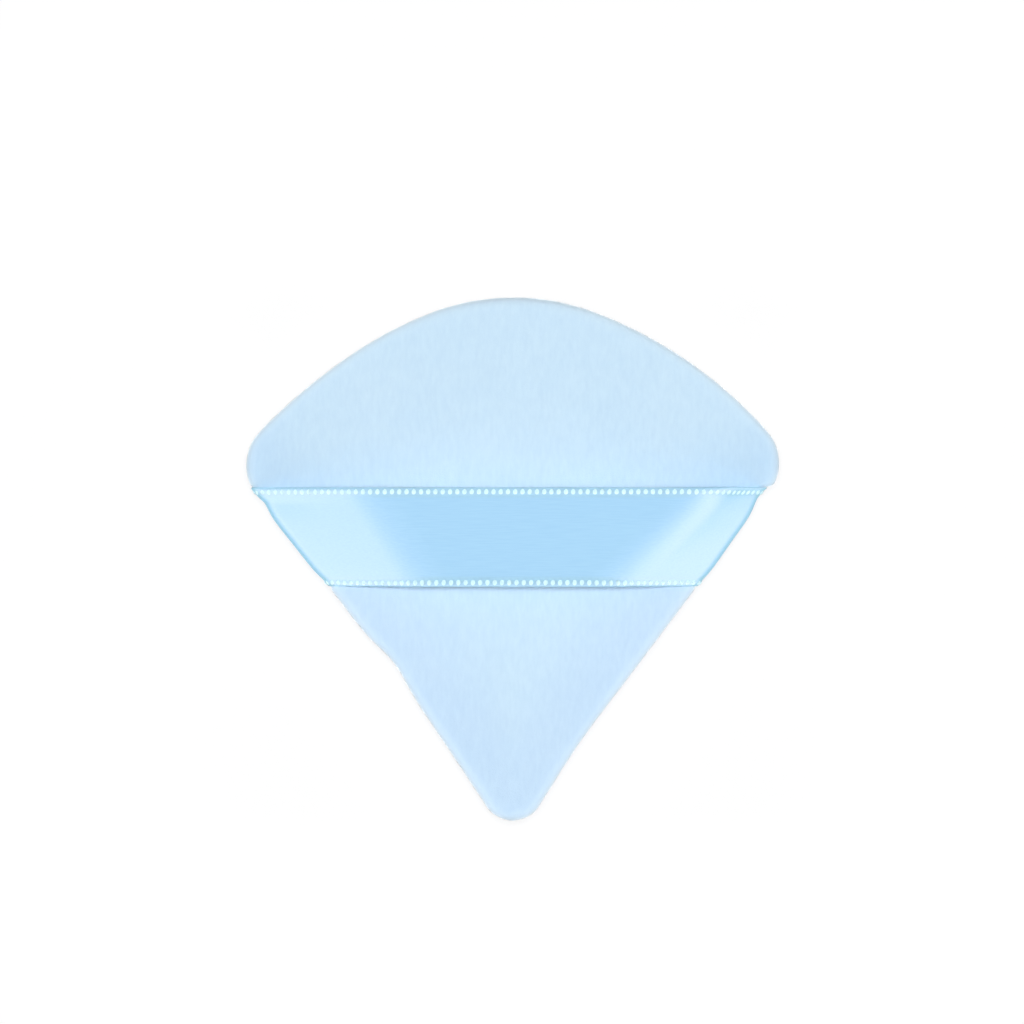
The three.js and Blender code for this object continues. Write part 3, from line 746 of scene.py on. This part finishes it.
def ribbon_body(grid, normal):
    """Points and faces of the ribbon's body round its middle surface, and which faces are its ends."""
    rows, wide, _ = grid.shape
    thick = half_thickness(ribbon_columns())[None, :, None]
    upper = (grid + normal * thick).reshape(-1, 3)
    lower = (grid - normal * thick).reshape(-1, 3)
    points = np.concatenate([upper, lower])

    def at(face, r, c):
        return face * rows * wide + r * wide + c

    faces = []
    for r in range(rows - 1):
        for c in range(wide - 1):
            faces.append((at(0, r, c), at(0, r + 1, c), at(0, r + 1, c + 1), at(0, r, c + 1)))
            faces.append((at(1, r, c + 1), at(1, r + 1, c + 1), at(1, r + 1, c), at(1, r, c)))
        for c, order in ((0, 1), (wide - 1, -1)):
            rim = (at(1, r, c), at(1, r + 1, c), at(0, r + 1, c), at(0, r, c))
            faces.append(rim[::order])
    sides = len(faces)
    for r, order in ((0, 1), (rows - 1, -1)):
        for c in range(wide - 1):
            end = (at(0, r, c), at(0, r, c + 1), at(1, r, c + 1), at(1, r, c))
            faces.append(end[::order])
    return points, outward_faces(points, faces), range(sides, len(faces))


def edge_stations(grid, normal, along, edge):
    """Evenly pitched places along one edge of the ribbon: points, directions along it and normals."""
    across = ribbon_columns()
    place = edge * (RIBBON_WIDTH / 2 - BEAD_INSET)
    column = int(np.argmin(np.abs(across - place)))
    path = grid[:, column]
    leaps = np.linalg.norm(np.diff(path, axis=0), axis=1)
    run = np.concatenate([[0], np.cumsum(leaps)])
    count = max(1, round(run[-1] / BEAD_PITCH))
    spots = (np.arange(count) + 0.5) / count * run[-1]

    def pick(values):
        return np.column_stack([np.interp(spots, run, values[:, column, k]) for k in range(3)])

    return zip(pick(grid), pick(along), pick(normal))


def bead(place, along, up):
    """Points and faces of one loop of edge yarn, a slanting oval that stands out of both faces."""
    across = np.cross(up, along)
    long_way = across * math.cos(BEAD_SLANT) + along * math.sin(BEAD_SLANT)
    short_way = along * math.cos(BEAD_SLANT) - across * math.sin(BEAD_SLANT)
    short, long, deep = BEAD_SIZE
    turns = np.arange(BEAD_SIDES) * 2 * math.pi / BEAD_SIDES
    oval = np.outer(np.cos(turns), short_way * short) + np.outer(np.sin(turns), up * deep)
    reach = long_way * long
    shares = np.linspace(0, math.pi, BEAD_RINGS + 2)[1:-1]
    rings = [reach * math.cos(share) + oval * math.sin(share) for share in shares]
    points, faces = ring_solid(reach, rings, -reach)
    return points + place, faces


def ribbon_piece(name, part, grid, normal, along, satin, yarn):
    """A length of the ribbon, with the loops of yarn along both its edges."""
    grid, normal, along = grid[part], normal[part], along[part]
    points, faces, ends = ribbon_body(grid, normal)
    in_yarn = [0] * len(faces)
    points = [points]
    start = len(points[0])
    for edge in (-1, 1):
        for place, ahead, up in edge_stations(grid, normal, along, edge):
            loop, loop_faces = bead(place, ahead, up)
            points.append(loop)
            faces += [tuple(start + i for i in face) for face in loop_faces]
            in_yarn += [1] * len(loop_faces)
            start += len(loop)
    made = make_object(name, np.concatenate(points), faces, [satin, yarn], in_yarn, ends)
    return made


def strap_end(made, node):
    """One end of the ribbon, sewn to the pad at its tail and meeting the span; it takes the place of
    its part.
    """
    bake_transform(made)
    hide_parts(node)


def strap(satin, yarn):
    """The ribbon in three pieces: two sewn ends and the span between them, which moves."""
    grid = strap_surface()
    normal, along = grid_normals(grid)
    look = (grid, normal, along, satin, yarn)
    left = ribbon_piece("ribbon_left", slice(0, MEET_ROW + 1), *look)
    strap_end(left, "strap_left_end")
    right = ribbon_piece("ribbon_right", slice(-MEET_ROW - 1, None), *look)
    strap_end(right, "strap_right_end")
    span = ribbon_piece("ribbon_span", slice(MEET_ROW, -MEET_ROW), *look)
    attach(span, "strap")
    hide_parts("strap_span")


# Materials


def srgb(red, green, blue):
    """A colour given in screen values from 0 to 255, as the shader takes it."""
    values = [c / 255 for c in (red, green, blue)]
    return (*[c / 12.92 if c <= 0.04045 else ((c + 0.055) / 1.055) ** 2.4 for c in values], 1.0)


def new_material(name):
    """A material with its node tree and its shader."""
    material = bpy.data.materials.new(name)
    material.use_nodes = True
    return material, material.node_tree, material.node_tree.nodes["Principled BSDF"]


def feed(tree, socket, value):
    """Give a socket its value, or link it to the output of another node."""
    if isinstance(value, bpy.types.NodeSocket):
        tree.links.new(value, socket)
    else:
        socket.default_value = value


def feed_named(tree, node, **inputs):
    """Feed sockets by their names, with _ for each space."""
    for key, value in inputs.items():
        feed(tree, node.inputs[key.replace("_", " ")], value)


def add(tree, kind, settings=None, **inputs):
    """A node with its settings and what its sockets are fed."""
    node = tree.nodes.new(kind)
    for key, value in (settings or {}).items():
        setattr(node, key, value)
    feed_named(tree, node, **inputs)
    return node


def operate(tree, kind, operation, values):
    """A node that works on values in the order of its sockets."""
    node = add(tree, kind, {"operation": operation})
    for socket, value in zip(node.inputs, values):
        feed(tree, socket, value)
    return node


def calc(tree, operation, *values):
    """The result of an operation on numbers."""
    return operate(tree, "ShaderNodeMath", operation, values).outputs["Value"]


def vector_calc(tree, operation, *values, result="Value"):
    """The result of an operation on vectors, a number unless its Vector is asked for."""
    return operate(tree, "ShaderNodeVectorMath", operation, values).outputs[result]


def fade(tree, value, zero, one, kind="LINEAR"):
    """0 where a value has reached the first number, 1 where it has reached the second."""
    settings = {"interpolation_type": kind}
    node = add(tree, "ShaderNodeMapRange", settings, Value=value, From_Min=zero, From_Max=one)
    return node.outputs["Result"]


def object_space(tree, scale=(1, 1, 1)):
    """The object's own coordinates in metres, stretched by a scale."""
    place = add(tree, "ShaderNodeTexCoord")
    return add(tree, "ShaderNodeMapping", Vector=place.outputs["Object"], Scale=scale).outputs["Vector"]


def part_along(tree, vector, axis):
    """One part of a vector."""
    return add(tree, "ShaderNodeSeparateXYZ", Vector=vector).outputs[axis]


def distance_along(tree, axis, middle):
    """How far places are from a middle along one axis, in metres."""
    off = calc(tree, "SUBTRACT", part_along(tree, object_space(tree), axis), middle * MM)
    return calc(tree, "ABSOLUTE", off)


def noise_on(tree, vector, scale, detail=2.0, roughness=0.5):
    """Soft noise at places, so many waves to the metre."""
    node = add(tree, "ShaderNodeTexNoise", Scale=scale, Detail=detail, Roughness=roughness)
    feed_named(tree, node, Vector=vector)
    return node.outputs["Fac"]


def ramp(tree, value, dark, light, low=0.0, high=1.0):
    """Colours between two stops of a value."""
    node = add(tree, "ShaderNodeValToRGB", Fac=value)
    for stop, position, colour in zip(node.color_ramp.elements, (low, high), (dark, light)):
        stop.position = position
        stop.color = colour
    return node.outputs["Color"]


def mix_colours(tree, share, first, second, blend="MIX"):
    """Two colours mixed by a share, through the sockets that the node keeps for colours."""
    node = add(tree, "ShaderNodeMix", {"data_type": "RGBA", "blend_type": blend})
    for socket, value in zip((0, 6, 7), (share, first, second)):
        feed(tree, node.inputs[socket], value)
    return node.outputs[2]


def multiply(tree, colour, *others):
    """Colours multiplied with each other."""
    for other in others:
        colour = mix_colours(tree, 1.0, colour, other, "MULTIPLY")
    return colour


def bump(tree, height, distance, strength, under=None):
    """Normals of a relief, laid over those of a coarser one if it is given."""
    node = add(tree, "ShaderNodeBump", Strength=strength, Distance=distance, Height=height)
    if under is not None:
        feed_named(tree, node, Normal=under)
    return node.outputs["Normal"]


def painted_rim_sheen(tree):
    """1 on the turn of the rim, where the colour is painted paler as a sheen, else 0."""
    return fade(tree, distance_along(tree, "Z", SEAM_HEIGHT), PAINTED_SHEEN_HEIGHTS[1] * MM, PAINTED_SHEEN_HEIGHTS[0] * MM)


def painted_corner_shade(tree):
    """1 beside the strap's ends, where the colour is painted deeper as shade, falling to 0."""
    corner_x, corner_y = ARCS["corner"][0]
    spot = (corner_x + CORNER_RADIUS, corner_y - CORNER_RADIUS / 2, SEAM_HEIGHT + FRONT_DEPTH)
    place = vector_calc(tree, "ABSOLUTE", object_space(tree), result="Vector")
    away = vector_calc(tree, "DISTANCE", place, [c * MM for c in spot])
    return fade(tree, away, PAINTED_CORNER_SHADE_REACH * MM, 0.0, "SMOOTHSTEP")


def painted_side_shade(tree):
    """1 along the slanting sides, where the colour is painted deeper as shade, falling to 0."""
    place = object_space(tree)
    left, right = [(hand * SIDE_LEAN, -SIDE_RISE, 0) for hand in (-1, 1)]
    out_left = vector_calc(tree, "DOT_PRODUCT", place, left)
    out_right = vector_calc(tree, "DOT_PRODUCT", place, right)
    outermost = calc(tree, "MAXIMUM", out_left, out_right)
    edge = float(edge_x(0, STRAP_Y)) * SIDE_LEAN - STRAP_Y * SIDE_RISE
    return fade(tree, outermost, (edge - PAINTED_SIDE_SHADE_INSETS[1]) * MM, (edge - PAINTED_SIDE_SHADE_INSETS[0]) * MM, "SMOOTHSTEP")


def velour_material():
    """Short dense pile, combed along the pad: soft streaks, a slow mottle and a fine nap."""
    material, tree, shader = new_material("velour")
    streak = noise_on(tree, object_space(tree, (1, 0.3, 1)), scale=1500, detail=3, roughness=0.55)
    mottle = noise_on(tree, object_space(tree), scale=95)
    pile = noise_on(tree, object_space(tree), scale=5200, roughness=0.6)
    base = ramp(tree, streak, srgb(199, 226, 246), srgb(205, 231, 249), *NOISE_RANGE)
    cloud = ramp(tree, mottle, (0.975, 0.985, 0.995, 1), WHITE, *NOISE_RANGE)
    # beside the strap's ends and along the slanting sides the pile's colour is darkened: painted shade
    corner_shade = ramp(tree, painted_corner_shade(tree), WHITE, (0.945, 0.985, 0.985, 1))
    side_shade = ramp(tree, painted_side_shade(tree), WHITE, (0.935, 0.94, 0.985, 1))
    pile_with_painted_shade = multiply(tree, base, cloud, corner_shade, side_shade)
    # the rim's turn is painted paler: a painted sheen
    colour = mix_colours(tree, painted_rim_sheen(tree), pile_with_painted_shade, srgb(224, 241, 250))
    coarse = bump(tree, streak, distance=0.00025, strength=0.12)
    fine = bump(tree, pile, distance=0.00012, strength=0.4, under=coarse)
    feed_named(tree, shader, Base_Color=colour, Normal=fine, Roughness=0.95, Specular_IOR_Level=0.1)
    feed_named(tree, shader, Sheen_Weight=1.0, Sheen_Roughness=0.4, Sheen_Tint=srgb(240, 248, 255))
    return material


def edge_stripe(tree):
    """1 on the denser weave along the ribbon's edges, else 0."""
    inner = RIBBON_WIDTH / 2 - EDGE_STRIPE
    away = distance_along(tree, "Y", STRAP_Y)
    return fade(tree, away, (inner - STRIPE_SOFTNESS) * MM, (inner + STRIPE_SOFTNESS) * MM)


def painted_turn_shade(tree):
    """1 where the ribbon turns down steeply over the pad's rim, falling to 0 on its gentler slopes; it
    places a painted shade.
    """
    normal = add(tree, "ShaderNodeNewGeometry").outputs["Normal"]
    return fade(tree, calc(tree, "ABSOLUTE", part_along(tree, normal, "Z")), *SATIN_SHADE_SLOPES)


def satin_material():
    """Satin weave: long smooth floats along the ribbon with a soft gloss."""
    material, tree, shader = new_material("satin_ribbon")
    floats = noise_on(tree, object_space(tree, (0.05, 1, 1)), scale=5200)
    slow = noise_on(tree, object_space(tree, (0.35, 1, 1)), scale=160)
    base = ramp(tree, floats, srgb(157, 205, 237), srgb(163, 210, 240), *NOISE_RANGE)
    cloud = ramp(tree, slow, (0.985, 0.99, 1, 1), WHITE, *NOISE_RANGE)
    stripe = ramp(tree, edge_stripe(tree), WHITE, (1.0, 0.98, 0.93, 1))
    # the ribbon's steep turn over the rim is darkened to teal: painted shade
    turned = ramp(tree, painted_turn_shade(tree), WHITE, (0.76, 0.97, 0.93, 1))
    colour = multiply(tree, base, cloud, stripe, turned)
    weave = bump(tree, floats, distance=0.00004, strength=0.25)
    feed_named(tree, shader, Base_Color=colour, Normal=weave, Roughness=0.55, Specular_IOR_Level=0.9)
    return material


def yarn_material(name, colour):
    """Twisted yarn, matt, with fine fibres."""
    material, tree, shader = new_material(name)
    fibre = noise_on(tree, object_space(tree, (1, 0.4, 1)), scale=6000, roughness=0.6)
    dark = srgb(*[c - less for c, less in zip(colour, YARN_DARKER)])
    light = srgb(*[c + more for c, more in zip(colour, YARN_LIGHTER)])
    base = ramp(tree, fibre, dark, light, *NOISE_RANGE)
    twist = bump(tree, fibre, distance=0.00006, strength=0.5)
    feed_named(tree, shader, Base_Color=base, Normal=twist, Roughness=0.6, Specular_IOR_Level=0.4)
    feed_named(tree, shader, Sheen_Weight=0.15)
    return material


def foam_material():
    """Fine open-cell foam."""
    material, tree, shader = new_material("sponge")
    cells = add(tree, "ShaderNodeTexVoronoi", Vector=object_space(tree), Scale=1800).outputs["Distance"]
    base = ramp(tree, cells, srgb(222, 228, 230), srgb(246, 249, 249), high=0.6)
    pores = bump(tree, cells, distance=0.0003, strength=0.6)
    feed_named(tree, shader, Base_Color=base, Normal=pores, Roughness=0.95, Specular_IOR_Level=0.15)
    return material


# Surroundings


def background_rays(tree):
    """1 for rays that should see a plain white background, else 0."""
    path = add(tree, "ShaderNodeLightPath")
    direct = calc(tree, "MAXIMUM", path.outputs["Is Camera Ray"], path.outputs["Is Glossy Ray"])
    return calc(tree, "MAXIMUM", direct, path.outputs["Is Transmission Ray"])


def floor_material():
    """A white floor that keeps the shadow near the object and fades to plain white further out."""
    material, tree, shader = new_material("floor")
    tree.nodes.remove(shader)
    rays = background_rays(tree)
    diffuse = add(tree, "ShaderNodeBsdfDiffuse", Color=(FLOOR_ALBEDO, FLOOR_ALBEDO, FLOOR_ALBEDO, 1))
    lift = calc(tree, "MULTIPLY", rays, 1 - FLOOR_ALBEDO)
    glow = add(tree, "ShaderNodeEmission", Color=WHITE, Strength=lift)
    near = add(tree, "ShaderNodeAddShader")
    tree.links.new(diffuse.outputs[0], near.inputs[0])
    tree.links.new(glow.outputs[0], near.inputs[1])
    white = add(tree, "ShaderNodeEmission", Color=WHITE, Strength=rays)
    away = vector_calc(tree, "LENGTH", object_space(tree))
    faded = fade(tree, away, FLOOR_FADE[0] * MM, FLOOR_FADE[1] * MM, "SMOOTHSTEP")
    mix = add(tree, "ShaderNodeMixShader", Fac=faded)
    tree.links.new(near.outputs[0], mix.inputs[1])
    tree.links.new(white.outputs[0], mix.inputs[2])
    tree.links.new(mix.outputs[0], tree.nodes["Material Output"].inputs["Surface"])
    return material


def floor():
    """A wide plain floor under the pad."""
    signs = [(-1, -1), (1, -1), (1, 1), (-1, 1)]
    corners = [(x * FLOOR_HALF, y * FLOOR_HALF, -FLOOR_DROP) for x, y in signs]
    made = make_object("floor", corners, [(0, 1, 2, 3)], [floor_material()])


def world():
    """A white background that lights the pad only a little."""
    sky = bpy.data.worlds.new("studio")
    sky.use_nodes = True
    tree = sky.node_tree
    level = add(tree, "ShaderNodeMapRange", Value=background_rays(tree), To_Min=AMBIENT, To_Max=1.0)
    feed_named(tree, tree.nodes["Background"], Color=WHITE, Strength=level.outputs["Result"])
    bpy.context.scene.world = sky


def area_light(name, place, size, power, colour=(1, 1, 1), diffuse=True, glossy=True):
    """A soft lamp at a place in metres that faces the pad."""
    lamp = bpy.data.lights.new(name, "AREA")
    lamp.color = colour
    lamp.shape = "RECTANGLE"
    lamp.size, lamp.size_y = size
    lamp.energy = power
    made = bpy.data.objects.new(name, lamp)
    made.location = place
    aim = Vector((0, CENTRE[1] * MM, SEAM_HEIGHT * MM)) - Vector(place)
    made.rotation_euler = aim.to_track_quat("-Z", "Y").to_euler()
    made.visible_diffuse = diffuse
    made.visible_glossy = glossy
    bpy.context.scene.collection.objects.link(made)


def lights():
    """A lamp over the pad, four low ones for its rim, and two cards that the ribbon's ends mirror."""
    area_light("front", (0.0, 0.05, 0.95), (0.2, 0.2), 6.8, glossy=False)
    area_light("left", (-0.72, 0.004, 0.13), (0.12, 0.16), 2.0)
    area_light("right", (0.72, 0.004, 0.13), (0.12, 0.16), 2.0)
    area_light("top", (0.0, 0.75, 0.11), (0.3, 0.16), 1.2)
    area_light("tip", (0.0, -0.75, 0.11), (0.3, 0.16), 2.4)
    area_light("left_card", (-0.51, -0.4, 0.25), (0.55, 0.42), 5.8, (1, 0.64, 0.72), diffuse=False)
    area_light("right_card", (0.51, -0.41, 0.25), (0.55, 0.52), 6.6, (1, 0.68, 0.74), diffuse=False)


def camera():
    """A camera straight over the pad."""
    lens = bpy.data.cameras.new("camera")
    lens.sensor_width = SENSOR
    lens.lens = LENS
    made = bpy.data.objects.new("camera", lens)
    x, y = CAMERA_SPOT
    made.location = (x * MM, y * MM, (SILHOUETTE_HEIGHT + CAMERA_DISTANCE) * MM)
    bpy.context.scene.collection.objects.link(made)
    bpy.context.scene.camera = made


# Assembly

bpy.context.scene.view_settings.view_transform = "Standard"
camera()
floor()
world()
lights()

velour = velour_material()
satin = satin_material()
edge_yarn = yarn_material("edge_yarn", (213, 246, 252))
thread = yarn_material("sewing_thread", (214, 236, 251))

push = swelling()
cover("front_velour", "front_cover", FRONT, velour, push)
cover("back_velour", "back_cover", BACK, velour)
sponge_core(foam_material(), push)
strap(satin, edge_yarn)
for node in ("seam_needle_thread", "seam_bobbin_thread", "closing_thread"):
    frame["nodes"][node].data.materials.clear()
    frame["nodes"][node].data.materials.append(thread)
